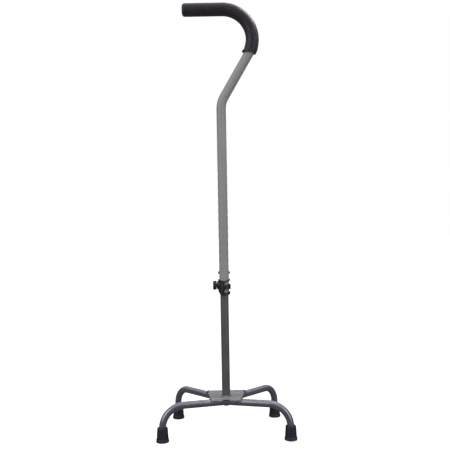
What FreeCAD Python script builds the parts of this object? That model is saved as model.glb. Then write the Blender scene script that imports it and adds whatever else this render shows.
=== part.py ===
import FreeCAD, Part
import math
import os

# Quad walking cane, millimetres, +Z up. The model is drawn round the shaft's axis and then moved so that
# the origin is on the floor at the centre of the four feet. The handle points to -X and the base is wide
# along X. Left is -X, front is -Y.

V = FreeCAD.Vector
X, Y, Z = V(1, 0, 0), V(0, 1, 0), V(0, 0, 1)

# Shafts
UPPER_OD = 22.2             # 7/8 in
UPPER_WALL = 1.5
LOWER_OD = 19.05            # 3/4 in, slides inside the upper tube
LOWER_WALL = 1.25
UPPER_END_Z = 321.5         # open lower end of the upper tube, with the cane at full height
LOWER_TOP_Z = 406.0
LOWER_FOOT_Z = 67.0
BUSH_FLANGE = 3.0
BOTTOM_FLANGE = 1.2
NUB_RADIUS, NUB_HEIGHT = 6.0, 3.2
FIT = 0.03                  # radial gap of pieces pushed into each other
PLUG_STEM = 12.0
HANDLE_PLUG_CAP = 1.5

# Offset bend and handle
KNEE_Z = 766.3              # where the shaft's axis turns towards the handle's bend
KNEE_RADIUS = 55.0
LEAN = math.radians(30.5)   # lean of the shaft between its two bends
HANDLE_Z = 982.9
HANDLE_RADIUS = 70.0
HANDLE_END_X = -82.5        # open end of the handle tube
GRIP_OD = 30.8
GRIP_END_X = -87.7
GRIP_END_ROUND = 6.0
GRIP_STOP = math.radians(-25.8)  # where the grip ends, as an angle round the handle bend's centre

# Height lock
PITCH = 19.05               # 3/4 in between heights
HOLES = 13                  # 9 in of adjustment
BUTTON_Z = 371.0
BUTTON_RADIUS = 3.2
BUTTON_TIP_X = 14.1
BUTTON_BASE_X = 5.9
BUTTON_FLANGE_RADIUS = 4.2
BUTTON_FLANGE = 1.0
LOWER_HOLE_RADIUS = 3.3
UPPER_HOLE_RADIUS = 3.4
SPRING_WIDTH = 7.0
SPRING_SHEET = 0.8
SPRING_FOOT_Z = 322.0
SPRING_FOOT_HALF = 3.6      # half the distance between the strip's legs at its foot
SPRING_BEND, SPRING_FOOT_BEND = 30.0, 3.0
SPRING_PAST = 5.5           # how far the strip's ends stand past the buttons' axis

# Collar and thumb knob
KNOB_Z = 342.0
COLLAR_RADIUS = 13.7
COLLAR_LOBE_RADIUS = 15.1
COLLAR_REACH = 26.0         # more than the collar's half height
LOBE_UNDER, LOBE_HEIGHT = 9.0, 11.2
LOBE_FROM_X = 2.0
BOSS_RADIUS = 9.8
BOSS_FACE_X = -16.9
STUD_RADIUS = 3.0           # M6
STUD_HOLE_RADIUS = 3.3
NUT_BORE_RADIUS = 3.05
NUT_FLATS = 10.0
NUT_IN_X, NUT_OUT_X = -11.6, -15.9
PAD_RADIUS = 2.6
PAD_BACK_X = -11.5
PAD_GAP = 0.02
KNOB_RADIUS = 10.3
KNOB_IN_X, KNOB_OUT_X = -17.2, -25.9
KNOB_GROOVES = 12
GROOVE_RADIUS = 1.6
GROOVE_OFFSET = 1.06        # groove axes' distance from the knob's axis, as a share of its radius
KNOB_EDGE_ROUND = 1.5
KNOB_FACE = 3.0             # plastic in front of the stud's end

# Base
LEG_OD = 15.9               # 5/8 in
LEG_WALL = 1.5
LEG_Z = 77.0                # height of the legs' axes where they run level
LEG_FOOT_Z = 7.2
FRONT_FOOT = (143.0, -55.0)
FRONT_APEX_Y = -16.0        # where the axes of the two front legs would meet
FRONT_BENDS = (48.0, 60.0)  # radii at a leg's bend and at the apex
REAR_FOOT = (120.5, 126.0)
REAR_APEX_Y = 2.5
REAR_BENDS = (37.0, 50.0)
PLATE_TOP_Z = 85.5
PLATE_SHEET = 2.5
PLATE_LIP = 3.4             # height of the turned-down front edge
PLATE_FRONT = (32.0, -38.0)
PLATE_REAR = (42.5, 55.0)
PLATE_SIDE_BULGE = 2.0
PLATE_NOTCH_RADIUS = 9.0
PLATE_CORNER = 4.0
SHAFT_WELD_RADIUS, SHAFT_WELD_HEIGHT = 12.4, 3.2
BEAD_OFFSET, BEAD_RADIUS = 1.1, 1.7  # a plate weld's centre line above the leg, and its half thickness
FRONT_BEAD_X, REAR_BEAD_X = 34.6, 42.6

# Rubber tips
TIP_HEIGHT = 32.5
TIP_RING_RADIUS = 14.35
TIP_RING_HEIGHT = 6.0
TIP_FOOT_RADIUS = 13.5
TIP_TOP_RADIUS = 11.7
TIP_FLOOR = 6.0             # rubber under the tube's end
TIP_FLUTES = 14
FLUTE_RADIUS, FLUTE_LENGTH = 0.9, 18.5
TIP_SHOULDER = 3.0          # rounding of the tip's top edge
MOUTH_RADIUS, MOUTH_DEPTH = 8.5, 8.0  # lead-in flare of the tip's bore
WASHER_SHEET = 1.2

SHAFT_Y = -(FRONT_FOOT[1] + REAR_FOOT[1]) / 2


def rod(radius, length, base, axis):
    """A straight round bar."""
    return Part.makeCylinder(radius, length, base, axis)


def route(points, radii):
    """Straight runs through the points, joined by tangent arcs of the given radii."""
    edges = []
    start = points[0]
    for before, corner, after, radius in zip(points, points[1:], points[2:], radii):
        run_in = (corner - before).normalize()
        run_out = (after - corner).normalize()
        half_turn = run_in.getAngle(run_out) / 2
        reach = radius * math.tan(half_turn)
        inward = (run_out - run_in).normalize()
        arc_start = corner - run_in * reach
        arc_middle = corner + inward * (radius / math.cos(half_turn) - radius)
        arc_end = corner + run_out * reach
        edges.append(Part.LineSegment(start, arc_start).toShape())
        edges.append(Part.Arc(arc_start, arc_middle, arc_end).toShape())
        start = arc_end
    edges.append(Part.LineSegment(start, points[-1]).toShape())
    return Part.Wire(edges)


def swept(path, radius):
    """A round bar along a path."""
    first = path.OrderedEdges[0]
    circle = Part.makeCircle(radius, first.valueAt(0), first.tangentAt(0))
    return path.makePipeShell([Part.Wire([circle])], True, False)


def bent_tube(path, diameter, wall):
    """A round tube along a path."""
    return swept(path, diameter / 2).cut(swept(path, diameter / 2 - wall))


def rounded(shape, radius, chosen):
    """The shape with the edges for which chosen(edge) is true rounded off."""
    return shape.makeFillet(radius, [edge for edge in shape.Edges if chosen(edge)])


def level_at(height):
    """A test for edges that lie level at a height."""
    return lambda edge: abs(edge.BoundBox.ZMin - height) < 0.01 and abs(edge.BoundBox.ZMax - height) < 0.01


# ---- upper shaft -------------------------------------------------------------------------------------

HANDLE_CORNER = V((HANDLE_Z - KNEE_Z) * math.tan(LEAN), 0, HANDLE_Z)
HANDLE_HALF_TURN = (math.pi / 2 + LEAN) / 2
HANDLE_CENTRE = HANDLE_CORNER - (X * math.tan(HANDLE_HALF_TURN) + Z) * HANDLE_RADIUS


def upper_route(end_x):
    """The upper tube's axis, from its lower end to a place along the handle."""
    points = [V(0, 0, UPPER_END_Z), V(0, 0, KNEE_Z), HANDLE_CORNER, V(end_x, 0, HANDLE_Z)]
    return route(points, [KNEE_RADIUS, HANDLE_RADIUS])


def upper_tube():
    tube = bent_tube(upper_route(HANDLE_END_X), UPPER_OD, UPPER_WALL)
    for step in range(HOLES):
        tube = tube.cut(rod(UPPER_HOLE_RADIUS, 2 * UPPER_OD, V(-UPPER_OD, 0, BUTTON_Z + step * PITCH), X))
    return tube.cut(rod(STUD_HOLE_RADIUS, UPPER_OD, V(0, 0, KNOB_Z), -X))


def on_handle_arc(angle):
    """A point of the handle bend's axis, by its angle round the bend's centre."""
    return HANDLE_CENTRE + V(math.cos(angle), 0, math.sin(angle)) * HANDLE_RADIUS


def handle_grip():
    arc_start = on_handle_arc(math.pi / 2)
    arc = Part.Arc(arc_start, on_handle_arc((math.pi / 2 + GRIP_STOP) / 2), on_handle_arc(GRIP_STOP))
    straight = Part.LineSegment(V(GRIP_END_X, 0, HANDLE_Z), arc_start)
    sleeve = swept(Part.Wire([straight.toShape(), arc.toShape()]), GRIP_OD / 2)
    sleeve = rounded(sleeve, GRIP_END_ROUND, lambda edge: edge.BoundBox.XMax < GRIP_END_X + 0.01)
    plug_face_x = HANDLE_END_X - HANDLE_PLUG_CAP - FIT
    return sleeve.cut(swept(upper_route(plug_face_x), UPPER_OD / 2 + FIT))


def handle_end_plug():
    stem = rod(UPPER_OD / 2 - UPPER_WALL - FIT, PLUG_STEM, V(HANDLE_END_X, 0, HANDLE_Z), X)
    cap = rod(UPPER_OD / 2, HANDLE_PLUG_CAP, V(HANDLE_END_X, 0, HANDLE_Z), -X)
    return stem.fuse(cap).removeSplitter()


# ---- collar and thumb knob ---------------------------------------------------------------------------

def side_profile(corners):
    """A solid cut along Y from a side outline: each entry is a point, or a pair that an arc runs through."""
    def at(point):
        return V(point[0], -30, KNOB_Z + point[1])

    edges = []
    here = at(corners[-1][-1])
    for entry in corners:
        if len(entry) == 2:
            edges.append(Part.Arc(here, at(entry[0]), at(entry[1])).toShape())
        else:
            edges.append(Part.LineSegment(here, at(entry[0])).toShape())
        here = at(entry[-1])
    return Part.Face(Part.Wire(edges)).extrude(Y * 60)


def locking_collar():
    low, high = KNOB_Z - COLLAR_REACH, KNOB_Z + COLLAR_REACH
    body = rod(COLLAR_RADIUS, high - low, V(0, 0, low), Z)
    lobe = rod(COLLAR_LOBE_RADIUS, LOBE_HEIGHT, V(0, 0, KNOB_Z - LOBE_UNDER), Z)
    lobe = lobe.common(Part.makeBox(30, 60, 60, V(LOBE_FROM_X, -30, KNOB_Z - 30)))
    boss = rod(BOSS_RADIUS, -BOSS_FACE_X, V(0, 0, KNOB_Z), -X)
    outline = side_profile([
        [(-9, 12.6), (0, 10.2)],
        [(9, 12.8), (20, 21)],
        [(20, -15)],
        [(13, -21), (6, -22.7)],
        [(-8, -22.7)],
        [(-20, -4)],
        [(-20, 17)],
    ])
    body = body.fuse(lobe).common(outline).fuse(boss)
    upper_window = side_profile([[(0.5, 6.5)], [(8, 8.5), (20, 11.5)], [(20, 2)], [(8, 2.6), (0.5, 0)]])
    lower_window = side_profile([[(0.5, -9.2)], [(8, -8.8), (20, -10.2)], [(20, -11.7)], [(8, -15.6), (0.5, -17.5)]])
    bore = rod(UPPER_OD / 2 + FIT, high - low, V(0, 0, low), Z)
    stud_hole = rod(STUD_HOLE_RADIUS, 30, V(0, 0, KNOB_Z), -X)
    nut_pocket = hexagon(NUT_FLATS + 2 * FIT, NUT_OUT_X - FIT, 0)
    for hollow in (upper_window, lower_window, bore, stud_hole, nut_pocket):
        body = body.cut(hollow)
    return body.removeSplitter()


def hexagon(flats, x_out, x_in):
    """A hexagonal bar on the knob's axis."""
    corner = flats / 2 / math.cos(math.pi / 6)
    ring = [V(x_out, corner * math.cos(k * math.pi / 3), KNOB_Z + corner * math.sin(k * math.pi / 3))
            for k in range(7)]
    return Part.Face(Part.makePolygon(ring)).extrude(X * (x_in - x_out))


def collar_nut():
    return hexagon(NUT_FLATS, NUT_OUT_X, NUT_IN_X).cut(rod(NUT_BORE_RADIUS, 30, V(0, 0, KNOB_Z), -X))


def thumb_knob():
    length = KNOB_IN_X - KNOB_OUT_X
    knob = rod(KNOB_RADIUS, length, V(KNOB_IN_X, 0, KNOB_Z), -X)
    knob = rounded(knob, KNOB_EDGE_ROUND, lambda edge: edge.BoundBox.XMax < KNOB_OUT_X + 0.01)
    for step in range(KNOB_GROOVES):
        angle = 2 * math.pi * (step + 0.5) / KNOB_GROOVES
        spoke = V(0, math.cos(angle), math.sin(angle)) * (KNOB_RADIUS * GROOVE_OFFSET)
        knob = knob.cut(rod(GROOVE_RADIUS, length + 2, V(KNOB_IN_X + 1, 0, KNOB_Z) + spoke, -X))
    return knob.cut(rod(STUD_RADIUS + FIT, length - KNOB_FACE, V(KNOB_IN_X, 0, KNOB_Z), -X))


def thumbscrew_stud():
    return rod(STUD_RADIUS, PAD_BACK_X - KNOB_OUT_X - KNOB_FACE - FIT, V(PAD_BACK_X, 0, KNOB_Z), -X)


def pressure_pad():
    pad = rod(PAD_RADIUS, -PAD_BACK_X, V(0, 0, KNOB_Z), -X)
    return pad.cut(rod(LOWER_OD / 2 + PAD_GAP, 20, V(0, 0, KNOB_Z - 10), Z))


# ---- lower shaft -------------------------------------------------------------------------------------

def lower_tube():
    tube = rod(LOWER_OD / 2, LOWER_TOP_Z - LOWER_FOOT_Z, V(0, 0, LOWER_FOOT_Z), Z)
    tube = tube.cut(rod(LOWER_OD / 2 - LOWER_WALL, LOWER_TOP_Z, V(0, 0, 0), Z))
    return tube.cut(rod(LOWER_HOLE_RADIUS, 2 * LOWER_OD, V(-LOWER_OD, 0, BUTTON_Z), X))


def lower_tube_top_bush():
    stem = rod(LOWER_OD / 2 - LOWER_WALL - FIT, 10, V(0, 0, LOWER_TOP_Z - 10), Z)
    flange = rod(LOWER_OD / 2 - FIT, BUSH_FLANGE, V(0, 0, LOWER_TOP_Z), Z)
    return rounded(stem.fuse(flange).removeSplitter(), 1.2, level_at(LOWER_TOP_Z + BUSH_FLANGE))


def lower_tube_bottom_plug():
    stem = rod(LOWER_OD / 2 - LOWER_WALL - FIT, PLUG_STEM, V(0, 0, LOWER_FOOT_Z), Z)
    flange = rod(LOWER_OD / 2, BOTTOM_FLANGE, V(0, 0, LOWER_FOOT_Z), -Z)
    nub = rod(NUB_RADIUS, NUB_HEIGHT, V(0, 0, LOWER_FOOT_Z), -Z)
    return rounded(stem.fuse([flange, nub]).removeSplitter(), 1, level_at(LOWER_FOOT_Z - NUB_HEIGHT))


def snap_spring():
    tip_x = BUTTON_BASE_X - SPRING_SHEET / 2
    top_z = BUTTON_Z + SPRING_PAST
    points = [V(tip_x, 0, top_z), V(tip_x, 0, BUTTON_Z - 6), V(SPRING_FOOT_HALF, 0, SPRING_FOOT_Z),
              V(-SPRING_FOOT_HALF, 0, SPRING_FOOT_Z), V(-tip_x, 0, BUTTON_Z - 6), V(-tip_x, 0, top_z)]
    path = route(points, [SPRING_BEND, SPRING_FOOT_BEND, SPRING_FOOT_BEND, SPRING_BEND])
    half_width, half_sheet = SPRING_WIDTH / 2, SPRING_SHEET / 2
    corners = [(-1, -1), (1, -1), (1, 1), (-1, 1), (-1, -1)]
    strip = Part.makePolygon([V(tip_x + half_sheet * a, half_width * b, top_z) for a, b in corners])
    return path.makePipeShell([strip], True, False)


def snap_button(side):
    """A lock button: side is -1 for the left one and 1 for the right one."""
    out = X * side
    shank = rod(BUTTON_RADIUS, BUTTON_TIP_X - BUTTON_BASE_X, V(side * BUTTON_BASE_X, 0, BUTTON_Z), out)
    shank = rounded(shank, 1.8, lambda edge: abs(edge.BoundBox.Center.x - side * BUTTON_TIP_X) < 0.01)
    flange = rod(BUTTON_FLANGE_RADIUS, BUTTON_FLANGE, V(side * BUTTON_BASE_X, 0, BUTTON_Z), out)
    return shank.fuse(flange).removeSplitter()


# ---- base --------------------------------------------------------------------------------------------

def leg_route(foot, apex_y, bends):
    """The axis of a two-legged tube, from its left foot over the apex to its right foot."""
    foot_x, foot_y = foot
    points = [V(-foot_x, foot_y, LEG_FOOT_Z), V(-foot_x, foot_y, LEG_Z), V(0, apex_y, LEG_Z),
              V(foot_x, foot_y, LEG_Z), V(foot_x, foot_y, LEG_FOOT_Z)]
    return route(points, [bends[0], bends[1], bends[0]])


FRONT_ROUTE = leg_route(FRONT_FOOT, FRONT_APEX_Y, FRONT_BENDS)
REAR_ROUTE = leg_route(REAR_FOOT, REAR_APEX_Y, REAR_BENDS)


def plate_outline(z_low, z_high):
    """The base plate's outline as a solid between two heights."""
    front_x, front_y = PLATE_FRONT
    rear_x, rear_y = PLATE_REAR
    middle_x = (front_x + rear_x) / 2 + PLATE_SIDE_BULGE
    middle_y = (front_y + rear_y) / 2
    points = [V(side * x, y, z_low) for side, x, y in (
        (-1, front_x, front_y), (1, front_x, front_y), (1, middle_x, middle_y), (1, rear_x, rear_y),
        (-1, rear_x, rear_y), (-1, middle_x, middle_y))]
    edges = [Part.LineSegment(points[0], points[1]), Part.Arc(*points[1:4]),
             Part.LineSegment(points[3], points[4]), Part.Arc(points[4], points[5], points[0])]
    block = Part.Face(Part.Wire([edge.toShape() for edge in edges])).extrude(Z * (z_high - z_low))
    return rounded(block, PLATE_CORNER, lambda edge: edge.BoundBox.ZLength > z_high - z_low - 0.01)


def base_plate():
    under_z = PLATE_TOP_Z - PLATE_SHEET
    front_y = PLATE_FRONT[1]
    plate = plate_outline(under_z, PLATE_TOP_Z)
    lip_block = Part.makeBox(100, PLATE_SHEET, 20, V(-50, front_y, LEG_Z))
    lip = plate_outline(PLATE_TOP_Z - PLATE_LIP, PLATE_TOP_Z).common(lip_block)
    above = plate_outline(under_z, PLATE_TOP_Z + 10)
    plate = plate.fuse(lip)
    for leg in (FRONT_ROUTE, REAR_ROUTE):
        plate = plate.fuse(swept(leg, LEG_OD / 2 + PLATE_SHEET).common(above))
    for leg in (FRONT_ROUTE, REAR_ROUTE):
        plate = plate.cut(swept(leg, LEG_OD / 2 + FIT))
    notch = rod(PLATE_NOTCH_RADIUS, 20, V(0, front_y, LEG_Z), Z)
    shaft_hole = rod(LOWER_OD / 2 + FIT, 30, V(0, 0, LEG_Z), Z)
    return plate.cut(notch).cut(shaft_hole).removeSplitter()


def shaft_weld(plate):
    """The bead between the lower tube and the plate."""
    bead = Part.makeCone(SHAFT_WELD_RADIUS, LOWER_OD / 2 + 0.3, SHAFT_WELD_HEIGHT, V(0, 0, PLATE_TOP_Z), Z)
    return bead.cut(rod(LOWER_OD / 2 + FIT, 30, V(0, 0, LEG_Z), Z)).cut(plate)


def plate_welds(plate):
    """The beads over the leg tubes where they leave the plate's sides."""
    beads = []
    upper_half = Part.makeBox(400, 400, 30, V(-200, -200, LEG_Z + 1.5))
    for leg, foot, apex_y, leave_x in ((FRONT_ROUTE, FRONT_FOOT, FRONT_APEX_Y, FRONT_BEAD_X),
                                       (REAR_ROUTE, REAR_FOOT, REAR_APEX_Y, REAR_BEAD_X)):
        slope = (foot[1] - apex_y) / foot[0]
        for side in (-1, 1):
            middle = V(side * leave_x, apex_y + slope * leave_x, LEG_Z)
            bead = Part.makeTorus(LEG_OD / 2 + BEAD_OFFSET, BEAD_RADIUS, middle, V(side, slope, 0))
            bead = bead.common(upper_half).cut(plate).cut(swept(leg, LEG_OD / 2 + FIT))
            beads.append(max(bead.Solids, key=lambda solid: solid.Volume))
    return Part.makeCompound(beads)


def rubber_tip(foot):
    """A fluted tip that stands on the floor at a foot."""
    ring = rounded(rod(TIP_RING_RADIUS, TIP_RING_HEIGHT, V(0, 0, 0), Z), 1.4, level_at(0))
    ring = rounded(ring, 0.8, level_at(TIP_RING_HEIGHT))
    cone = Part.makeCone(TIP_FOOT_RADIUS + 0.3, TIP_TOP_RADIUS, TIP_HEIGHT - 2, V(0, 0, 2), Z)
    cone = rounded(cone, TIP_SHOULDER, level_at(TIP_HEIGHT))
    tip = ring.fuse(cone)
    taper = math.atan((TIP_FOOT_RADIUS - TIP_TOP_RADIUS) / TIP_HEIGHT)
    for step in range(TIP_FLUTES):
        angle = 2 * math.pi * step / TIP_FLUTES
        out = V(math.cos(angle), math.sin(angle), 0)
        along = Z * math.cos(taper) - out * math.sin(taper)
        start = out * (TIP_FOOT_RADIUS - 0.1) + Z * (TIP_RING_HEIGHT + 1.5)
        tip = tip.cut(rod(FLUTE_RADIUS, FLUTE_LENGTH, start, along))
    mouth_z = TIP_HEIGHT - MOUTH_DEPTH
    mouth = Part.makeCone(LEG_OD / 2 + FIT, MOUTH_RADIUS, MOUTH_DEPTH, V(0, 0, mouth_z), Z)
    tip = tip.cut(rod(LEG_OD / 2 + FIT, TIP_HEIGHT, V(0, 0, TIP_FLOOR), Z)).cut(mouth).removeSplitter()
    return tip.translated(V(foot[0], foot[1], 0))


def tip_washer(foot):
    """The steel disc between a tip's floor and the tube's end."""
    return rod(LEG_OD / 2 - FIT, WASHER_SHEET, V(foot[0], foot[1], TIP_FLOOR), Z)


def cane():
    """Every piece by its name."""
    plate = base_plate()
    pieces = {
        "upper_tube": upper_tube(),
        "handle_grip": handle_grip(),
        "handle_end_plug": handle_end_plug(),
        "locking_collar": locking_collar(),
        "collar_nut": collar_nut(),
        "thumb_knob": thumb_knob(),
        "thumbscrew_stud": thumbscrew_stud(),
        "pressure_pad": pressure_pad(),
        "lower_tube": lower_tube(),
        "lower_tube_top_bush": lower_tube_top_bush(),
        "lower_tube_bottom_plug": lower_tube_bottom_plug(),
        "snap_spring": snap_spring(),
        "snap_button_left": snap_button(-1),
        "snap_button_right": snap_button(1),
        "front_leg_tube": bent_tube(FRONT_ROUTE, LEG_OD, LEG_WALL),
        "rear_leg_tube": bent_tube(REAR_ROUTE, LEG_OD, LEG_WALL),
        "base_plate": plate,
        "shaft_weld": shaft_weld(plate),
        "plate_welds": plate_welds(plate),
    }
    for row, (foot_x, foot_y) in (("front", FRONT_FOOT), ("rear", REAR_FOOT)):
        for side, sign in (("left", -1), ("right", 1)):
            foot = (sign * foot_x, foot_y)
            pieces[f"{row}_{side}_tip"] = rubber_tip(foot)
            pieces[f"{row}_{side}_tip_washer"] = tip_washer(foot)
    return pieces


os.makedirs("parts", exist_ok=True)
for name, shape in cane().items():
    placed = shape.translated(V(0, SHAFT_Y, 0))
    placed.exportStep(f"parts/{name}.step")
    box = placed.BoundBox
    print(f"{name:24s} valid {placed.isValid()} solids {len(placed.Solids)} volume {placed.Volume:9.1f}  "
          f"x {box.XMin:7.1f} {box.XMax:7.1f}  y {box.YMin:7.1f} {box.YMax:7.1f}  z {box.ZMin:7.1f} {box.ZMax:7.1f}")
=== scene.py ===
"""Looks for a quad walking cane: foam grip, collar and knob, painted tubes, rubber tips, studio."""

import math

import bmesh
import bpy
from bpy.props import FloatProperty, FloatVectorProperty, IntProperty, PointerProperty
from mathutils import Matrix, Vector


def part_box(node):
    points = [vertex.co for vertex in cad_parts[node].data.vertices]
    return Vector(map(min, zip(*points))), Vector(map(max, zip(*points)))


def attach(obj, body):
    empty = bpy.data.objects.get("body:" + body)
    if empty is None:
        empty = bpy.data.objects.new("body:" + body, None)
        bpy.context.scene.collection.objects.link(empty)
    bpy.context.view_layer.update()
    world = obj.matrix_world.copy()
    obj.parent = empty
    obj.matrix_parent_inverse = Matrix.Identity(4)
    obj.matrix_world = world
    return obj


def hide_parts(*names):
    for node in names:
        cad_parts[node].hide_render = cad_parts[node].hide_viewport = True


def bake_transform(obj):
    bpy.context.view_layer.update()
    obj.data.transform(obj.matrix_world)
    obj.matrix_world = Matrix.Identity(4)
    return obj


bl_info = {
    "name": "Quad Walking Cane",
    "version": (1, 0, 0),
    "blender": (4, 5, 0),
    "location": "View3D > Sidebar > Cane",
    "description": "Models the cane's soft and moulded pieces and finishes every surface",
    "category": "Add Mesh",
}

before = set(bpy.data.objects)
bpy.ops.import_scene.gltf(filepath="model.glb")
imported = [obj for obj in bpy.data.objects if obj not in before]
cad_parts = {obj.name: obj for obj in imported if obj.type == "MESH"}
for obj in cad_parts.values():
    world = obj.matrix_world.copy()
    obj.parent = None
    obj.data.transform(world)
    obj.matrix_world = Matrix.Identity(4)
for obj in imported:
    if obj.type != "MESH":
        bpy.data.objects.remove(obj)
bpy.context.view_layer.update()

MM = 0.001
SAME_POINT = 0.001 * MM     # points nearer than this are one
FEET = [f"{row}_{side}" for row in ("front", "rear") for side in ("left", "right")]


def middle(node):
    """The centre of a node's box at rest."""
    low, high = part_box(node)
    return (Vector(low) + Vector(high)) / 2


SHAFT = middle("lower_tube")
KNOB = middle("thumb_knob")
GRIP_LOW, GRIP_HIGH = (Vector(corner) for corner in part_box("handle_grip"))
GRIP_RADIUS = (GRIP_HIGH.y - GRIP_LOW.y) / 2
HANDLE_RADIUS = 70 * MM     # of the handle bend's centre line
HANDLE_CENTRE = Vector((GRIP_HIGH.x - GRIP_RADIUS - HANDLE_RADIUS, SHAFT.y,
                        GRIP_HIGH.z - GRIP_RADIUS - HANDLE_RADIUS))
FOOT_PLACES = [middle(f"{foot}_tip") for foot in FEET]
LEG_RADIUS = 7.95 * MM
LEG_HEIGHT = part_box("front_leg_tube")[1][2] - LEG_RADIUS    # of the level runs' centre lines


# ---- settings -----------------------------------------------------------------------------------

class GripSettings(bpy.types.PropertyGroup):
    """Sizes and colour of the foam grip."""
    stop: FloatProperty(name="Stop angle",
                        description="Where the grip ends, round the handle bend's centre",
                        default=math.radians(-27.8), subtype="ANGLE")
    end_round: FloatProperty(name="End rounding", description="Rounding of the closed end",
                             default=7 * MM, subtype="DISTANCE")
    lip: FloatProperty(name="Lip",
                       description="How far the bunched foam stands out at the open end",
                       default=1.6 * MM, subtype="DISTANCE")
    slope: FloatProperty(name="End slope", description="How far the open end leans from square",
                         default=math.radians(18), subtype="ANGLE")
    wall: FloatProperty(name="Foam", description="Thickness of the foam",
                        default=3.8 * MM, subtype="DISTANCE")
    colour: FloatVectorProperty(name="Colour", description="Colour of the foam", size=3,
                                min=0, max=1, default=(0.0150, 0.0105, 0.0180), subtype="COLOR")


class TipSettings(bpy.types.PropertyGroup):
    """Sizes and colour of the rubber tips."""
    flutes: IntProperty(name="Flutes", description="Upright grooves round each tip",
                        default=14, min=3, max=40)
    flute_depth: FloatProperty(name="Flute depth", description="Depth of the grooves",
                               default=0.8 * MM, subtype="DISTANCE")
    ripples: IntProperty(name="Facets per flute", description="Faces from one groove to the next",
                         default=8, min=4, max=16)
    colour: FloatVectorProperty(name="Colour", description="Colour of the rubber", size=3,
                                min=0, max=1, default=(0.0065, 0.0065, 0.0165), subtype="COLOR")


class KnobSettings(bpy.types.PropertyGroup):
    """Sizes and colour of the thumb knob and collar."""
    lobes: IntProperty(name="Lobes", description="Finger grooves round the knob",
                       default=12, min=3, max=40)
    lobe_depth: FloatProperty(name="Groove depth", description="Depth of the finger grooves",
                              default=0.75 * MM, subtype="DISTANCE")
    colour: FloatVectorProperty(name="Colour", description="Colour of the moulded plastic", size=3,
                                min=0, max=1, default=(0.006, 0.006, 0.0105), subtype="COLOR")


class PaintSettings(bpy.types.PropertyGroup):
    """Colours of the tubes and the plate."""
    upper: FloatVectorProperty(name="Upper tube", description="Colour of the satin upper tube",
                               size=3, min=0, max=1, default=(0.262, 0.249, 0.256),
                               subtype="COLOR")
    lower: FloatVectorProperty(name="Lower tube", description="Colour of the dark lower tube",
                               size=3, min=0, max=1, default=(0.098, 0.092, 0.102),
                               subtype="COLOR")
    base: FloatVectorProperty(name="Leg tubes", description="Colour of the legs' metallic paint",
                              size=3, min=0, max=1, default=(0.150, 0.150, 0.192),
                              subtype="COLOR")
    plate: FloatVectorProperty(name="Plate", description="Colour of the base plate",
                               size=3, min=0, max=1, default=(0.205, 0.195, 0.205),
                               subtype="COLOR")


class StageSettings(bpy.types.PropertyGroup):
    """The studio's camera and lights."""
    distance: FloatProperty(name="Distance", description="Camera to the shaft",
                            default=1.485, subtype="DISTANCE")
    height: FloatProperty(name="Height", description="Camera above the floor",
                          default=0.469, subtype="DISTANCE")
    aside: FloatProperty(name="Aside", description="Camera to the right of the shaft",
                         default=4.2 * MM, subtype="DISTANCE")
    lens: FloatProperty(name="Lens", description="Focal length in millimetres", default=51.2)
    tilt: FloatProperty(name="Tilt", description="Camera looking up",
                        default=math.radians(0.47), subtype="ANGLE")
    roll: FloatProperty(name="Roll", description="Camera leaning to the right",
                        default=math.radians(1.0), subtype="ANGLE")
    floor: FloatVectorProperty(name="Floor", description="Colour of the floor", size=3,
                               min=0, max=1, default=(0.60, 0.60, 0.60), subtype="COLOR")
    bounce: FloatProperty(name="Bounce",
                          description="Share of its light that the floor throws back up",
                          default=0.3, min=0, max=1, subtype="FACTOR")
    glow: FloatProperty(name="Glow", description="How far the floor lights its own shadows",
                        default=0.55, min=0)
    overhead: FloatProperty(name="Overhead", description="Light from straight above",
                            default=1.35, min=0)
    side: FloatProperty(name="Side light", description="Light from the studio's walls",
                        default=0.10, min=0)
    front: FloatProperty(name="Front softbox", description="Power in watts", default=40.0, min=0)
    right: FloatProperty(name="Right softbox", description="Power in watts", default=24.0, min=0)
    rim: FloatProperty(name="Rim softbox", description="Power in watts", default=2.2, min=0)


# ---- shared effects -----------------------------------------------------------------------------

def effect_group(name, inputs, outputs):
    """An empty node group with number inputs and outputs; returns the group and its two end nodes."""
    group = bpy.data.node_groups.new(name, "ShaderNodeTree")
    for label, default in inputs:
        socket = group.interface.new_socket(label, in_out="INPUT", socket_type="NodeSocketFloat")
        socket.default_value = default
    for label in outputs:
        group.interface.new_socket(label, in_out="OUTPUT", socket_type="NodeSocketFloat")
    return group, group.nodes.new("NodeGroupInput"), group.nodes.new("NodeGroupOutput")


def linked(tree, kind, links=(), **values):
    """A node with some inputs linked and some set; links are (input, output socket)."""
    node = tree.nodes.new(kind)
    for key, value in values.items():
        setattr(node, key, value)
    for socket, source in links:
        if isinstance(source, bpy.types.NodeSocket):
            tree.links.new(source, node.inputs[socket])
        else:
            node.inputs[socket].default_value = source
    return node


def maths(tree, operation, first, second=0.0):
    """A Math node's output."""
    return linked(tree, "ShaderNodeMath", [(0, first), (1, second)], operation=operation).outputs[0]


def remap(tree, value, low, high):
    """The value, smoothly taken from low..high to 0..1."""
    node = linked(tree, "ShaderNodeMapRange", [(0, value), (1, low), (2, high)],
                  interpolation_type="SMOOTHSTEP", clamp=True)
    return node.outputs[0]


def object_place(tree):
    """Object coordinates."""
    return tree.nodes.new("ShaderNodeTexCoord").outputs["Object"]


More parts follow.
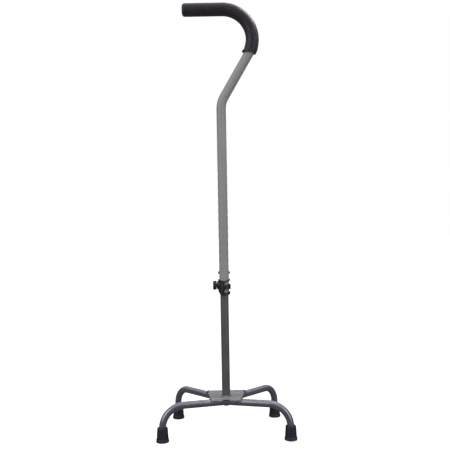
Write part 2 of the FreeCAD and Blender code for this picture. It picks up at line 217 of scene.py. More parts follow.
def speckle_group():
    """Fine grain with slower blotches over it."""
    group, given, result = effect_group(
        "Speckle", [("Grain Scale", 900.0), ("Blotch Scale", 60.0), ("Blotches", 0.5)],
        ["Grain", "Blotch", "Mix"])
    place = object_place(group)
    grain = linked(group, "ShaderNodeTexNoise",
                   [("Vector", place), ("Scale", given.outputs["Grain Scale"]), ("Detail", 2.0)])
    blotch = linked(group, "ShaderNodeTexNoise",
                    [("Vector", place), ("Scale", given.outputs["Blotch Scale"]), ("Detail", 3.0)])
    grain_mask = remap(group, grain.outputs[0], 0.3, 0.7)
    blotch_mask = remap(group, blotch.outputs[0], 0.35, 0.65)
    weight = given.outputs["Blotches"]
    part = maths(group, "MULTIPLY", blotch_mask, weight)
    rest = maths(group, "MULTIPLY", grain_mask, maths(group, "SUBTRACT", 1.0, weight))
    group.links.new(grain_mask, result.inputs["Grain"])
    group.links.new(blotch_mask, result.inputs["Blotch"])
    group.links.new(maths(group, "ADD", part, rest), result.inputs["Mix"])
    return group


def scratch_group():
    """Patches of hairline scratches, long in the object's upright direction."""
    group, given, result = effect_group(
        "Scratches", [("Across", 900.0), ("Along", 6.0), ("Amount", 0.5)], ["Lines"])
    place = linked(group, "ShaderNodeSeparateXYZ", [(0, object_place(group))])
    across = [maths(group, "MULTIPLY", place.outputs[axis], given.outputs["Across"])
              for axis in (0, 1)]
    along = maths(group, "MULTIPLY", place.outputs[2], given.outputs["Along"])
    stretched = linked(group, "ShaderNodeCombineXYZ", [(0, across[0]), (1, across[1]), (2, along)])
    lines = linked(group, "ShaderNodeTexNoise",
                   [("Vector", stretched.outputs[0]), ("Scale", 1.0), ("Detail", 2.0)])
    patches = linked(group, "ShaderNodeTexNoise",
                     [("Vector", object_place(group)), ("Scale", 14.0), ("Detail", 4.0)])
    patch_mask = remap(group, patches.outputs[0], 0.48, 0.72)
    line_mask = remap(group, lines.outputs[0], 0.56, 0.74)
    shown = maths(group, "MULTIPLY", line_mask, patch_mask)
    kept = maths(group, "MULTIPLY", shown, given.outputs["Amount"])
    group.links.new(kept, result.inputs["Lines"])
    return group


def dust_group():
    """Dust that settles on faces that look up."""
    group, given, result = effect_group("Dust", [("Scale", 90.0), ("Amount", 0.2)], ["Mask"])
    normal = group.nodes.new("ShaderNodeNewGeometry").outputs["Normal"]
    up = linked(group, "ShaderNodeSeparateXYZ", [(0, normal)]).outputs[2]
    patches = linked(group, "ShaderNodeTexNoise",
                     [("Vector", object_place(group)), ("Scale", given.outputs["Scale"]),
                      ("Detail", 5.0)])
    mask = maths(group, "MULTIPLY", remap(group, up, 0.2, 1.0),
                 remap(group, patches.outputs[0], 0.4, 0.75))
    group.links.new(maths(group, "MULTIPLY", mask, given.outputs["Amount"]), result.inputs["Mask"])
    return group


def effect(name, maker):
    """A shared effect's group, built the first time that it is asked for."""
    return bpy.data.node_groups.get(name) or maker()


# ---- materials ----------------------------------------------------------------------------------

PALE_DUST = (0.45, 0.45, 0.46)
WARM_DUST = (0.5, 0.49, 0.48)
HAND_DUST = (0.22, 0.21, 0.21)
FLOOR_DUST = (0.3, 0.28, 0.26)
DUSTY_HEIGHT = 9 * MM       # how far up the tips the floor's dust goes


class Finish:
    """A Principled material under construction."""

    def __init__(self, name, **sockets):
        self.material = bpy.data.materials.new(name)
        self.material.use_nodes = True
        self.tree = self.material.node_tree
        self.shader = self.tree.nodes["Principled BSDF"]
        for label, value in sockets.items():
            self.shader.inputs[label.replace("_", " ")].default_value = value

    def place_effect(self, name, maker, **values):
        """A shared effect's node with its own values; returns its outputs."""
        node = self.tree.nodes.new("ShaderNodeGroup")
        node.node_tree = effect(name, maker)
        for label, value in values.items():
            node.inputs[label.replace("_", " ")].default_value = value
        return node.outputs

    def speckle(self, grain, blotch, blotches):
        """Grain and blotches at their scales; blotches is how much they count beside the grain."""
        return self.place_effect("Speckle", speckle_group,
                                 Grain_Scale=grain, Blotch_Scale=blotch, Blotches=blotches)

    def scratches(self, across, along, amount):
        """Upright scratches: their scale across and along the cane, and how many show."""
        return self.place_effect("Scratches", scratch_group, Across=across, Along=along, Amount=amount)

    def dust(self, amount, scale):
        """Dust on faces that look up."""
        return self.place_effect("Dust", dust_group, Amount=amount, Scale=scale)

    def mixed(self, factor, first, second):
        """A colour between two; each is a colour or a socket."""
        node = linked(self.tree, "ShaderNodeMix", [("Factor", factor)], data_type="RGBA")
        for socket, source in ((6, first), (7, second)):
            if isinstance(source, bpy.types.NodeSocket):
                self.tree.links.new(source, node.inputs[socket])
            else:
                node.inputs[socket].default_value = (*source, 1.0)
        return node.outputs[2]

    def ranged(self, factor, low, high):
        """A number that the factor takes from low to high."""
        return linked(self.tree, "ShaderNodeMapRange", [(0, factor), (3, low), (4, high)]).outputs[0]

    def colour(self, source):
        """Colour the surface from a socket."""
        self.tree.links.new(source, self.shader.inputs["Base Color"])

    def rough(self, source):
        """Roughen the surface from a socket."""
        self.tree.links.new(source, self.shader.inputs["Roughness"])

    def bumps(self, *layers):
        """Bump layers one over another; each is (height socket, depth in metres, strength)."""
        normal = None
        for height, depth, strength in layers:
            node = linked(self.tree, "ShaderNodeBump", [("Height", height), ("Distance", depth),
                                                        ("Strength", strength)])
            if normal is not None:
                self.tree.links.new(normal, node.inputs["Normal"])
            normal = node.outputs["Normal"]
        self.tree.links.new(normal, self.shader.inputs["Normal"])


def shade(colour, factor):
    """A colour made lighter or darker."""
    return tuple(min(1.0, channel * factor) for channel in colour)


def satin_tube_finish(colour):
    """Satin grey metallic coating of the upper tube."""
    finish = Finish("satin grey tube", Metallic=0.15, Roughness=0.58,
                    Sheen_Weight=0.3, Sheen_Roughness=0.4)
    speckle = finish.speckle(grain=1600.0, blotch=18.0, blotches=0.6)
    scratches = finish.scratches(across=1300.0, along=10.0, amount=0.5)
    base = finish.mixed(speckle["Mix"], shade(colour, 0.93), shade(colour, 1.07))
    finish.colour(finish.mixed(scratches["Lines"], base, shade(colour, 1.5)))
    finish.rough(finish.ranged(speckle["Blotch"], 0.54, 0.62))
    finish.bumps((speckle["Grain"], 0.02 * MM, 0.5))
    return finish.material


def dark_tube_finish(colour):
    """Dark satin paint of the lower tube, rubbed where the upper tube slides over it."""
    finish = Finish("dark grey tube", Metallic=0.35, Roughness=0.35)
    speckle = finish.speckle(grain=1500.0, blotch=22.0, blotches=0.5)
    scratches = finish.scratches(across=1500.0, along=5.0, amount=0.8)
    base = finish.mixed(speckle["Mix"], shade(colour, 0.88), shade(colour, 1.12))
    finish.colour(finish.mixed(scratches["Lines"], base, shade(colour, 3.0)))
    finish.rough(finish.ranged(speckle["Blotch"], 0.30, 0.42))
    finish.bumps((speckle["Grain"], 0.015 * MM, 0.5))
    return finish.material


def leg_paint(colour):
    """Glossy blue-grey metallic paint of the leg tubes."""
    finish = Finish("blue-grey metallic paint", Metallic=0.8, Roughness=0.3,
                    Coat_Weight=0.5, Coat_Roughness=0.15)
    speckle = finish.speckle(grain=2200.0, blotch=30.0, blotches=0.35)
    dust = finish.dust(amount=0.10, scale=60.0)
    base = finish.mixed(speckle["Mix"], shade(colour, 0.85), shade(colour, 1.2))
    finish.colour(finish.mixed(dust["Mask"], base, PALE_DUST))
    finish.rough(finish.ranged(speckle["Blotch"], 0.24, 0.34))
    finish.bumps((speckle["Blotch"], 0.02 * MM, 0.2), (speckle["Grain"], 0.005 * MM, 0.3))
    return finish.material


def plate_paint(colour):
    """Mottled satin paint of the base plate."""
    finish = Finish("mottled plate paint", Metallic=0.45, Roughness=0.45)
    speckle = finish.speckle(grain=1400.0, blotch=150.0, blotches=0.75)
    dust = finish.dust(amount=0.16, scale=120.0)
    base = finish.mixed(speckle["Mix"], shade(colour, 0.80), shade(colour, 1.18))
    finish.colour(finish.mixed(dust["Mask"], base, WARM_DUST))
    finish.rough(finish.ranged(speckle["Blotch"], 0.40, 0.56))
    finish.bumps((speckle["Blotch"], 0.12 * MM, 0.5), (speckle["Grain"], 0.02 * MM, 0.5))
    return finish.material


def foam_finish(colour):
    """Smooth-skinned black foam with fine pores."""
    finish = Finish("black foam", Roughness=0.5, Specular_IOR_Level=0.3,
                    Sheen_Weight=0.12, Sheen_Roughness=0.5)
    speckle = finish.speckle(grain=1500.0, blotch=70.0, blotches=0.55)
    pores = linked(finish.tree, "ShaderNodeTexVoronoi",
                   [("Vector", object_place(finish.tree)), ("Scale", 1300.0)])
    pore_mask = remap(finish.tree, pores.outputs["Distance"], 0.0, 0.35)
    dust = finish.dust(amount=0.14, scale=160.0)
    base = finish.mixed(speckle["Mix"], shade(colour, 0.75), shade(colour, 1.3))
    finish.colour(finish.mixed(dust["Mask"], base, HAND_DUST))
    finish.rough(finish.ranged(speckle["Blotch"], 0.44, 0.58))
    finish.bumps((speckle["Blotch"], 0.18 * MM, 0.3), (pore_mask, 0.06 * MM, 0.55))
    return finish.material


def rubber_finish(colour):
    """Moulded black rubber, dusty low down."""
    finish = Finish("black rubber", Roughness=0.6, Specular_IOR_Level=0.35)
    speckle = finish.speckle(grain=1800.0, blotch=120.0, blotches=0.5)
    place = linked(finish.tree, "ShaderNodeSeparateXYZ", [(0, object_place(finish.tree))])
    low = maths(finish.tree, "SUBTRACT", 1.0, remap(finish.tree, place.outputs[2], 0.0, DUSTY_HEIGHT))
    scuffs = maths(finish.tree, "MULTIPLY", low, speckle["Blotch"])
    base = finish.mixed(speckle["Mix"], shade(colour, 0.8), shade(colour, 1.35))
    finish.colour(finish.mixed(maths(finish.tree, "MULTIPLY", scuffs, 0.16), base, FLOOR_DUST))
    finish.rough(finish.ranged(speckle["Blotch"], 0.48, 0.68))
    finish.bumps((speckle["Mix"], 0.06 * MM, 0.5))
    return finish.material


def moulded_finish(name, colour, rough):
    """Injection-moulded plastic with a fine spark-eroded texture."""
    finish = Finish(name, Roughness=rough)
    speckle = finish.speckle(grain=2400.0, blotch=90.0, blotches=0.4)
    finish.colour(finish.mixed(speckle["Mix"], shade(colour, 0.8), shade(colour, 1.3)))
    finish.rough(finish.ranged(speckle["Blotch"], rough - 0.06, rough + 0.08))
    finish.bumps((speckle["Grain"], 0.04 * MM, 0.6))
    return finish.material


def steel_finish(name, colour, rough):
    """Plated or bare steel of the small fittings."""
    finish = Finish(name, Metallic=1.0, Roughness=rough)
    speckle = finish.speckle(grain=1800.0, blotch=140.0, blotches=0.5)
    finish.colour(finish.mixed(speckle["Mix"], shade(colour, 0.82), shade(colour, 1.12)))
    finish.rough(finish.ranged(speckle["Blotch"], rough - 0.05, rough + 0.1))
    finish.bumps((speckle["Grain"], 0.015 * MM, 0.5))
    return finish.material


def weld_finish(colour):
    """Painted weld bead, a little burnt."""
    finish = Finish("painted weld", Metallic=0.7, Roughness=0.4)
    speckle = finish.speckle(grain=1600.0, blotch=300.0, blotches=0.6)
    finish.colour(finish.mixed(speckle["Mix"], shade(colour, 0.6), shade(colour, 1.25)))
    finish.rough(finish.ranged(speckle["Mix"], 0.32, 0.52))
    finish.bumps((speckle["Blotch"], 0.15 * MM, 0.6))
    return finish.material


# ---- mesh helpers -------------------------------------------------------------------------------

def turned(corners, place, centre, axis, steps):
    """A surface of revolution. Corners are (across, along, rounding), place puts one in the object,
    and the outline that joins them is rounded and turned round the axis."""
    bm = bmesh.new()
    points = [bm.verts.new(place(across, along)) for across, along, rounding in corners]
    for first, second in zip(points, points[1:]):
        bm.edges.new((first, second))
    halves = {}
    for before, point, after in zip(points, points[1:], points[2:]):
        halves[point] = (before.co - point.co).angle(after.co - point.co) / 2
    for point, (across, along, rounding) in zip(points, corners):
        if rounding:
            bmesh.ops.bevel(bm, geom=[point], offset=rounding / math.tan(halves[point]),
                            offset_type="OFFSET", affect="VERTICES", segments=5, profile=0.5,
                            material=-1)
    bmesh.ops.spin(bm, geom=bm.verts[:] + bm.edges[:], cent=centre, axis=axis, dvec=(0, 0, 0),
                   angle=2 * math.pi, steps=steps, use_merge=True, use_duplicate=False)
    bmesh.ops.remove_doubles(bm, verts=bm.verts, dist=SAME_POINT)
    return bm


def press_grooves(bm, centre, axes, count, depth, within, power):
    """Press grooves into a turned piece; axes are the two letters across its axis, and within says
    which points, by their place and their distance from the axis."""
    for vert in bm.verts:
        spoke = Vector((0, 0, 0))
        for letter in axes:
            setattr(spoke, letter, getattr(vert.co - centre, letter))
        if not within(vert.co, spoke.length):
            continue
        angle = math.atan2(getattr(spoke, axes[1]), getattr(spoke, axes[0])) * count
        vert.co -= spoke.normalized() * depth * max(0.0, math.cos(angle)) ** power


def cad_copy(node):
    """A merged copy of a CAD node's mesh."""
    bm = bmesh.new()
    bm.from_mesh(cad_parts[node].data)
    bmesh.ops.remove_doubles(bm, verts=bm.verts, dist=SAME_POINT)
    return bm


def resurfaced(bm, voxel, repeats):
    """The same closed form with an even surface and softened edges."""
    mesh = bpy.data.meshes.new("form")
    bm.to_mesh(mesh)
    bm.free()
    form = bpy.data.objects.new("form", mesh)
    bpy.context.scene.collection.objects.link(form)
    surface = form.modifiers.new("Surface", "REMESH")
    surface.mode = "VOXEL"
    surface.voxel_size = voxel
    soften = form.modifiers.new("Soften", "SMOOTH")
    soften.factor = 0.5
    soften.iterations = repeats
    depsgraph = bpy.context.evaluated_depsgraph_get()
    made = bpy.data.meshes.new_from_object(form.evaluated_get(depsgraph))
    bpy.data.objects.remove(form)
    result = bmesh.new()
    result.from_mesh(made)
    result.normal_update()
    bpy.data.meshes.remove(made)
    bpy.data.meshes.remove(mesh)
    return result


def finished(name, bm, material, body, slot, *stands_for):
    """A bmesh made into a smooth piece that stands for CAD nodes; it rides on a body, if given one."""
    bmesh.ops.recalc_face_normals(bm, faces=bm.faces)
    mesh = bpy.data.meshes.new(name)
    bm.to_mesh(mesh)
    bm.free()
    mesh.materials.append(material)
    mesh.shade_smooth()
    piece = bpy.data.objects.new(name, mesh)
    bpy.context.scene.collection.objects.link(piece)
    if body:
        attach(piece, body)
    if stands_for:
        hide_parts(*stands_for)
    return piece


# ---- pieces -------------------------------------------------------------------------------------

class CANE_OT_grip(bpy.types.Operator):
    """Model the foam grip with its closed end and bunched open end"""
    bl_idname = "cane.grip"
    bl_label = "Foam grip"

    AROUND, BEND_STEPS, STRAIGHT_STEPS, ROUND_STEPS = 64, 72, 24, 8
    END_RINGS = (0.6, 0.25, 0.0)                        # rings on the flat of the closed end
    BEAD_AT, BEAD_WIDTH = 2.6 * MM, 3.0 * MM            # the lip's fullest place, from the open end
    PINCH_AT, PINCH_WIDTH, PINCH_DEPTH = 9.5 * MM, 3 * MM, 0.5 * MM
    LEAN_FADE = 14 * MM                                 # how quickly the lean dies out
    BUNCHED = 40 * MM                                   # no change further than this from the end

    def execute(self, context):
        settings = context.scene.cane_grip
        bm = bmesh.new()
        ring = bmesh.ops.create_circle(bm, segments=self.AROUND, radius=GRIP_RADIUS)["verts"]
        out = Vector((math.cos(settings.stop), 0, math.sin(settings.stop)))
        along = Vector((-out.z, 0, out.x))
        turn = Matrix((out, Vector((0, 1, 0)), -along)).transposed().to_4x4()
        place = Matrix.Translation(HANDLE_CENTRE + out * HANDLE_RADIUS)
        bmesh.ops.transform(bm, verts=ring, matrix=place @ turn)
        made = bmesh.ops.spin(bm, geom=bm.edges[:], cent=HANDLE_CENTRE, axis=(0, -1, 0),
                              angle=math.pi / 2 - settings.stop, steps=self.BEND_STEPS)
        edges = [item for item in made["geom_last"] if isinstance(item, bmesh.types.BMEdge)]
        straight = HANDLE_CENTRE.x - (GRIP_LOW.x + settings.end_round)
        for step in range(self.STRAIGHT_STEPS):
            edges = self.extruded(bm, edges, straight / self.STRAIGHT_STEPS, 1.0)
        self.close_end(bm, edges, settings.end_round)
        bmesh.ops.remove_doubles(bm, verts=bm.verts, dist=0.01 * MM)
        self.bunch(bm, along, settings)
        grip = finished("foam_grip", bm, foam_finish(settings.colour), "upper_shaft",
                        "black_foam", "handle_grip")
        wall = grip.modifiers.new("Foam wall", "SOLIDIFY")
        wall.thickness = settings.wall
        wall.offset = -1
        edge = grip.modifiers.new("Soft end", "BEVEL")
        edge.affect, edge.profile, edge.material = "EDGES", 0.5, -1
        edge.width = 0.8 * MM
        edge.segments = 3
        edge.angle_limit = math.radians(50)
        return {"FINISHED"}

    @classmethod
    def close_end(cls, bm, edges, rounding):
        """Round the handle's end and close it over the flat inside the rounding."""
        flat = GRIP_RADIUS - rounding
        radius, forward = GRIP_RADIUS, 0.0
        for step in range(1, cls.ROUND_STEPS + 1):
            angle = step * math.pi / 2 / cls.ROUND_STEPS
            wanted = flat + rounding * math.cos(angle)
            edges = cls.extruded(bm, edges, rounding * math.sin(angle) - forward, wanted / radius)
            radius, forward = wanted, rounding * math.sin(angle)
        for share in cls.END_RINGS:
            edges = cls.extruded(bm, edges, 0.0, flat * share / radius)
            radius = flat * share or radius

    @staticmethod
    def extruded(bm, edges, forward, scale):
        """Extrude the ring along the handle and scale it round its axis; returns the new edges."""
        made = bmesh.ops.extrude_edge_only(bm, edges=edges)["geom"]
        verts = [item for item in made if isinstance(item, bmesh.types.BMVert)]
        bmesh.ops.translate(bm, verts=verts, vec=(-forward, 0, 0))
        centre = Vector((verts[0].co.x, HANDLE_CENTRE.y, HANDLE_CENTRE.z + HANDLE_RADIUS))
        bmesh.ops.scale(bm, verts=verts, vec=(1, scale, scale), space=Matrix.Translation(-centre))
        return [item for item in made if isinstance(item, bmesh.types.BMEdge)
                and all(vert in verts for vert in item.verts)]

    @classmethod
    def bunch(cls, bm, along, settings):
        """Lean the open end and push a bunched lip out of it, most on the side towards the hand."""
        for vert in bm.verts:
            offset = vert.co - HANDLE_CENTRE
            angle = math.atan2(offset.z, offset.x)
            distance = (angle - settings.stop) * HANDLE_RADIUS
            if offset.x < 0 or distance > cls.BUNCHED:
                continue
            spoke = Vector((math.cos(angle), 0, math.sin(angle)))
            radial = offset - spoke * HANDLE_RADIUS
            side = max(0.0, 0.35 - 0.65 * radial.dot(spoke) / GRIP_RADIUS)
            bead = math.exp(-((distance - cls.BEAD_AT) / cls.BEAD_WIDTH) ** 2)
            pinch = math.exp(-((distance - cls.PINCH_AT) / cls.PINCH_WIDTH) ** 2)
            lean = math.tan(settings.slope) * math.exp(-(distance / cls.LEAN_FADE) ** 2)
            push = settings.lip * bead - cls.PINCH_DEPTH * pinch
            vert.co += radial.normalized() * side ** 2 * push
            vert.co += along * lean * radial.dot(spoke)


class CANE_OT_tips(bpy.types.Operator):
    """Model the four fluted rubber tips"""
    bl_idname = "cane.tips"
    bl_label = "Rubber tips"

    BORE = 7.98 * MM                                    # radius of the hole for the leg
    MOUTH, MOUTH_DEPTH = 8.45 * MM, 8 * MM              # radius of the hole's flare
    FLOOR = 6 * MM                                      # where the washer lies
    FOOT_HEIGHT, WAIST_HEIGHT = 5.6 * MM, 7.0 * MM
    WAIST, TOP = 13.3 * MM, 11.7 * MM                   # radii
    TREADS, TREAD_DEPTH, TREAD_WIDTH = 3, 0.9 * MM, 1.1 * MM
    FIRST_TREAD, TREAD_PITCH = 4.2 * MM, 2.9 * MM
    SOLE_HOLLOW, SOLE_HOLLOW_DEPTH = 2.6 * MM, 0.6 * MM
    FLUTED_FROM, PLAIN_TOP = 7.5 * MM, 3 * MM           # height, and how much of the top is plain
    SKIN = 10 * MM                                      # points nearer the axis are inside

    def execute(self, context):
        settings = context.scene.cane_tips
        rubber = rubber_finish(settings.colour)
        for foot in FEET:
            self.tip(foot, settings, rubber)
        return {"FINISHED"}

    @classmethod
    def tip(cls, foot, settings, rubber):
        """One tip: a turned outline with a treaded sole and a bore, then its flutes pressed in."""
        node = f"{foot}_tip"
        low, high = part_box(node)
        centre = (Vector(low) + Vector(high)) / 2
        ring = (high[0] - low[0]) / 2
        height = high[2] - low[2]
        corners = [(0, cls.SOLE_HOLLOW_DEPTH, 0), (cls.SOLE_HOLLOW, cls.SOLE_HOLLOW_DEPTH, 0.3 * MM),
                   (cls.SOLE_HOLLOW, 0, 0.3 * MM)]
        for groove in range(cls.TREADS):
            inner = cls.FIRST_TREAD + cls.TREAD_PITCH * groove
            outer = inner + cls.TREAD_WIDTH
            corners += [(inner, 0, 0.25 * MM), (inner, cls.TREAD_DEPTH, 0.25 * MM),
                        (outer, cls.TREAD_DEPTH, 0.25 * MM), (outer, 0, 0.25 * MM)]
        corners += [(ring, 0, 1.3 * MM), (ring, cls.FOOT_HEIGHT, 1.0 * MM),
                    (cls.WAIST, cls.WAIST_HEIGHT, 0.9 * MM), (cls.TOP, height, 3.0 * MM),
                    (cls.MOUTH, height, 0.25 * MM), (cls.BORE, height - cls.MOUTH_DEPTH, 0.5 * MM),
                    (cls.BORE, cls.FLOOR, 0.4 * MM), (0, cls.FLOOR, 0)]
        bm = turned(corners, lambda across, up: (centre.x + across, centre.y, up),
                    (centre.x, centre.y, 0), (0, 0, 1), settings.flutes * settings.ripples)
        press_grooves(bm, centre, "xy", settings.flutes, settings.flute_depth, power=2,
                      within=lambda place, reach: (
                          reach >= cls.SKIN and cls.FLUTED_FROM < place.z < height - cls.PLAIN_TOP))
        finished(f"{foot}_rubber_tip", bm, rubber, "base", "black_rubber", node)


class CANE_OT_knob(bpy.types.Operator):
    """Model the grooved thumb knob"""
    bl_idname = "cane.knob"
    bl_label = "Thumb knob"

    STUD_HOLE, STUD_HOLE_DEPTH = 3.05 * MM, 3 * MM      # radius, and the face left over it
    DIMPLE, DIMPLE_DEPTH = 6.0 * MM, 1.2 * MM           # the round hollow in the outer face
    RIM_EDGE = 1.2 * MM
    HUB, HUB_HEIGHT = 6.0 * MM, 0.8 * MM                # the raised ring that faces the collar
    GROOVED_FROM = 8 * MM                               # distance from the axis

    def execute(self, context):
        settings = context.scene.cane_knob
        low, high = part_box("thumb_knob")
        radius = (high[2] - low[2]) / 2
        inner, outer = high[0], low[0]
        back = inner - self.HUB_HEIGHT
        corners = [
            (0, outer + self.DIMPLE_DEPTH, 0),
            (self.DIMPLE - 0.4 * MM, outer + self.DIMPLE_DEPTH, 0.3 * MM),
            (self.DIMPLE + 0.4 * MM, outer, 0.4 * MM),
            (radius, outer, 1.6 * MM),
            (radius, inner - self.RIM_EDGE, 0.5 * MM),
            (radius - self.RIM_EDGE, back, 0.3 * MM),
            (self.HUB + 0.5 * MM, back, 0.3 * MM),
            (self.HUB, inner, 0.3 * MM),
            (self.STUD_HOLE, inner, 0.3 * MM),
            (self.STUD_HOLE, outer + self.STUD_HOLE_DEPTH, 0),
            (0, outer + self.STUD_HOLE_DEPTH, 0)]
        bm = turned(corners, lambda across, along: (along, KNOB.y, KNOB.z + across),
                    KNOB, (1, 0, 0), settings.lobes * 10)
        press_grooves(bm, KNOB, "yz", settings.lobes, settings.lobe_depth, power=1.5,
                      within=lambda place, reach: reach >= self.GROOVED_FROM)
        plastic = moulded_finish("knob plastic", settings.colour, 0.38)
        finished("grooved_knob", bm, plastic, "clamp_knob", "knob_plastic", "thumb_knob")
        return {"FINISHED"}


class CANE_OT_collar(bpy.types.Operator):
    """Model the moulded locking collar with softened edges"""
    bl_idname = "cane.collar"
    bl_label = "Locking collar"

    def execute(self, context):
        bm = resurfaced(cad_copy("locking_collar"), voxel=0.38 * MM, repeats=6)
        plastic = moulded_finish("collar plastic", context.scene.cane_knob.colour, 0.34)
        finished("moulded_collar", bm, plastic, "upper_shaft", "black_plastic", "locking_collar")
        return {"FINISHED"}


class CANE_OT_plate(bpy.types.Operator):
    """Model the pressed base plate and the weld beads on it"""
    bl_idname = "cane.plate"
    bl_label = "Plate and welds"

    RIPPLE = 0.16 * MM
    SHAFT_RIPPLES, SHAFT_PITCH = 30, 0.9 * MM           # round the bead, and the slant over its height
    LEG_RIPPLES, LEG_PITCH = 16, 0.8 * MM

    def execute(self, context):
        paint = context.scene.cane_paint
        plate = resurfaced(cad_copy("base_plate"), voxel=0.55 * MM, repeats=5)
        finished("pressed_plate", plate, plate_paint(paint.plate), "base", "plate_paint",
                 "base_plate")
        weld = weld_finish(paint.base)
        for node, phase in (("shaft_weld", self.shaft_phase), ("plate_welds", self.leg_phase)):
            bead = resurfaced(cad_copy(node), voxel=0.35 * MM, repeats=8)
            for vert in bead.verts:
                vert.co += vert.normal * self.RIPPLE * math.sin(phase(vert.co))
            finished(f"rippled_{node}", bead, weld, "base", "blue_grey_paint", node)
        return {"FINISHED"}

    @classmethod
    def shaft_phase(cls, place):
        """Phase of the ripples round the shaft's foot."""
        around = math.atan2(place.y - SHAFT.y, place.x - SHAFT.x)
        return cls.SHAFT_RIPPLES * around + (place.z - LEG_HEIGHT) / cls.SHAFT_PITCH

    @classmethod
    def leg_phase(cls, place):
        """Phase of the ripples over the nearest leg."""
        foot = min(FOOT_PLACES, key=lambda centre: (centre.xy - place.xy).length)
        run = foot.xy - place.xy
        out = run.normalized()
        across = (place.xy - SHAFT.xy).dot(Vector((-out.y, out.x)))
        return cls.LEG_RIPPLES * math.atan2(place.z - LEG_HEIGHT, across) + run.length / cls.LEG_PITCH


class CANE_OT_spring(bpy.types.Operator):
    """Model the two leaves of the snap spring, each cut across in level slices"""
    bl_idname = "cane.spring"
    bl_label = "Snap spring"

    CUTS = 20                                           # level cuts across each leaf
    FOOT, HEAD = 4 * MM, 9 * MM                         # the leaf's two ends

    def execute(self, context):
        low, high = (Vector(corner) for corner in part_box("snap_spring"))
        steel = steel_finish("spring steel", (0.30, 0.29, 0.29), 0.35)
        for side, name in ((-1, "left"), (1, "right")):
            bm = cad_copy("snap_spring")
            cut = self.cut_across(bm, SHAFT, (-side, 0, 0), clear_outer=True)
            bmesh.ops.holes_fill(bm, edges=[item for item in cut["geom_cut"]
                                            if isinstance(item, bmesh.types.BMEdge)])
            for step in range(1, self.CUTS):
                self.cut_across(bm, low.lerp(high, step / self.CUTS), (0, 0, 1))
            leaf = finished(f"spring_leaf_{name}", bm, steel, None, "spring_steel", "snap_spring")
            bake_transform(leaf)
        return {"FINISHED"}

    @staticmethod
    def cut_across(bm, place, normal, clear_outer=False):
        """Cut the whole mesh by a plane."""
        return bmesh.ops.bisect_plane(bm, geom=bm.verts[:] + bm.edges[:] + bm.faces[:],
                                      dist=SAME_POINT, plane_co=place, plane_no=normal,
                                      clear_outer=clear_outer)


class CANE_OT_metal(bpy.types.Operator):
    """Finish the tubes and the small fittings"""
    bl_idname = "cane.metal"
    bl_label = "Tubes and fittings"

    def execute(self, context):
        paint = context.scene.cane_paint
        leg = leg_paint(paint.base)
        plastic = moulded_finish("black moulding", context.scene.cane_knob.colour, 0.36)
        zinc = steel_finish("zinc plated steel", (0.62, 0.62, 0.60), 0.32)
        button = steel_finish("button steel", (0.16, 0.16, 0.17), 0.34)
        nylon = moulded_finish("pale nylon", (0.70, 0.69, 0.64), 0.45)
        finishes = {
            "upper_tube": satin_tube_finish(paint.upper),
            "lower_tube": dark_tube_finish(paint.lower),
            "front_leg_tube": leg,
            "rear_leg_tube": leg,
            "handle_end_plug": plastic,
            "lower_tube_top_bush": plastic,
            "lower_tube_bottom_plug": plastic,
            "collar_nut": zinc,
            "thumbscrew_stud": zinc,
            "pressure_pad": nylon,
            "snap_button_left": button,
            "snap_button_right": button,
        }
        for foot in FEET:
            finishes[f"{foot}_tip_washer"] = zinc
        for node, material in finishes.items():
            for material_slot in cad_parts[node].material_slots:
                material_slot.material = material
        return {"FINISHED"}


# ---- studio -------------------------------------------------------------------------------------

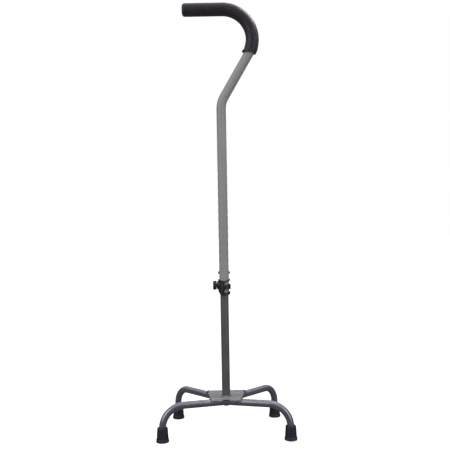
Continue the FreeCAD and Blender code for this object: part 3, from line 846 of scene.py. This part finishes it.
class CANE_OT_stage(bpy.types.Operator):
    """Set up the pale floor, the soft studio light and the camera"""
    bl_idname = "cane.stage"
    bl_label = "Studio"

    MIDDLE = 0.45                                       # height that the large lights look at
    FLOOR_SIZE, FLOOR_GAP = 30, 0.2 * MM

    def execute(self, context):
        settings = context.scene.cane_stage
        context.scene.view_settings.view_transform = "Standard"
        self.floor(settings)
        self.world(context, settings)
        self.softbox("front softbox", (-2.2, -2.05, 1.6), (1.8, 2.2), settings.front, self.MIDDLE)
        self.softbox("right softbox", (2.0, -1.9, 1.1), (1.4, 2.0), settings.right, self.MIDDLE)
        self.softbox("rim softbox", (0.29, 0.08, 1.27), (0.22, 0.22), settings.rim, HANDLE_CENTRE.z)
        self.camera(context, settings)
        return {"FINISHED"}

    @classmethod
    def floor(cls, settings):
        """A pale floor that throws only a little light back up."""
        bm = bmesh.new()
        bmesh.ops.create_grid(bm, x_segments=2, y_segments=2, size=cls.FLOOR_SIZE)
        bmesh.ops.translate(bm, verts=bm.verts, vec=(0, 0, -cls.FLOOR_GAP))
        mesh = bpy.data.meshes.new("floor")
        bm.to_mesh(mesh)
        bm.free()
        floor = bpy.data.objects.new("floor", mesh)
        bpy.context.scene.collection.objects.link(floor)
        finish = Finish("pale floor", Roughness=0.9, Specular_IOR_Level=0.0,
                        Emission_Color=(1, 1, 1, 1))
        seen = finish.tree.nodes.new("ShaderNodeLightPath").outputs["Is Camera Ray"]
        finish.colour(finish.mixed(seen, shade(settings.floor, settings.bounce), settings.floor))
        glow = maths(finish.tree, "MULTIPLY", seen, settings.glow)
        finish.tree.links.new(glow, finish.shader.inputs["Emission Strength"])
        mesh.materials.append(finish.material)

    @staticmethod
    def world(context, settings):
        """A studio that is bright overhead, dim at the sides and white behind the object."""
        world = bpy.data.worlds.new("studio")
        context.scene.world = world
        world.use_nodes = True
        tree = world.node_tree
        background = tree.nodes["Background"]
        direction = linked(tree, "ShaderNodeSeparateXYZ",
                           [(0, tree.nodes.new("ShaderNodeTexCoord").outputs["Generated"])]).outputs[2]
        up = remap(tree, direction, 0.05, 0.95)
        level = linked(tree, "ShaderNodeMapRange",
                       [(0, up), (3, settings.side), (4, settings.overhead)]).outputs[0]
        seen = tree.nodes.new("ShaderNodeLightPath").outputs["Is Camera Ray"]
        strength = linked(tree, "ShaderNodeMix", [("Factor", seen), (2, level), (3, 1.0)]).outputs[0]
        tree.links.new(strength, background.inputs["Strength"])
        background.inputs["Color"].default_value = (1, 1, 1, 1)

    @staticmethod
    def softbox(name, place, size, power, aim):
        """An area light that looks at the cane at the height given as aim."""
        light = bpy.data.lights.new(name, "AREA")
        light.shape = "RECTANGLE"
        light.size, light.size_y = size
        light.energy = power
        lamp = bpy.data.objects.new(name, light)
        target = Vector((0, SHAFT.y, aim))
        lamp.matrix_world = (Matrix.Translation(place)
                             @ (target - Vector(place)).to_track_quat("-Z", "Y").to_matrix().to_4x4())
        lamp.visible_camera = False
        bpy.context.scene.collection.objects.link(lamp)

    @staticmethod
    def camera(context, settings):
        """The camera in front of the cane."""
        data = bpy.data.cameras.new("camera")
        data.lens = settings.lens
        data.sensor_width = 36
        data.dof.use_dof = False
        camera = bpy.data.objects.new("camera", data)
        place = Matrix.Translation((SHAFT.x + settings.aside, SHAFT.y - settings.distance,
                                    settings.height))
        aim = (Matrix.Rotation(math.pi / 2 + settings.tilt, 4, "X")
               @ Matrix.Rotation(-settings.roll, 4, "Z"))
        camera.matrix_world = place @ aim
        context.scene.collection.objects.link(camera)
        context.scene.camera = camera


class CANE_PT_panel(bpy.types.Panel):
    """The cane's pieces in the sidebar"""
    bl_idname = "CANE_PT_panel"
    bl_label = "Quad Walking Cane"
    bl_space_type = "VIEW_3D"
    bl_region_type = "UI"
    bl_category = "Cane"

    def draw(self, context):
        for operator in OPERATORS:
            self.layout.operator(operator.bl_idname)
        for group in SETTINGS:
            settings = getattr(context.scene, group)
            box = self.layout.box()
            for name in settings.bl_rna.properties.keys():
                if name not in ("rna_type", "name"):
                    box.prop(settings, name)


SETTINGS = {
    "cane_grip": GripSettings,
    "cane_tips": TipSettings,
    "cane_knob": KnobSettings,
    "cane_paint": PaintSettings,
    "cane_stage": StageSettings,
}
OPERATORS = (CANE_OT_grip, CANE_OT_tips, CANE_OT_knob, CANE_OT_collar, CANE_OT_plate, CANE_OT_spring,
             CANE_OT_metal, CANE_OT_stage)


def register():
    """Register the settings, the operators and the panel."""
    for group in SETTINGS.values():
        bpy.utils.register_class(group)
    for name, group in SETTINGS.items():
        setattr(bpy.types.Scene, name, PointerProperty(type=group))
    for operator in OPERATORS:
        bpy.utils.register_class(operator)
    bpy.utils.register_class(CANE_PT_panel)


def unregister():
    """Undo register."""
    bpy.utils.unregister_class(CANE_PT_panel)
    for operator in reversed(OPERATORS):
        bpy.utils.unregister_class(operator)
    for name, group in SETTINGS.items():
        delattr(bpy.types.Scene, name)
        bpy.utils.unregister_class(group)


def main():
    """Make every piece, the finishes and the studio."""
    register()
    bpy.ops.cane.grip()
    bpy.ops.cane.tips()
    bpy.ops.cane.knob()
    bpy.ops.cane.collar()
    bpy.ops.cane.plate()
    bpy.ops.cane.spring()
    bpy.ops.cane.metal()
    bpy.ops.cane.stage()


if __name__ == "__main__":
    main()
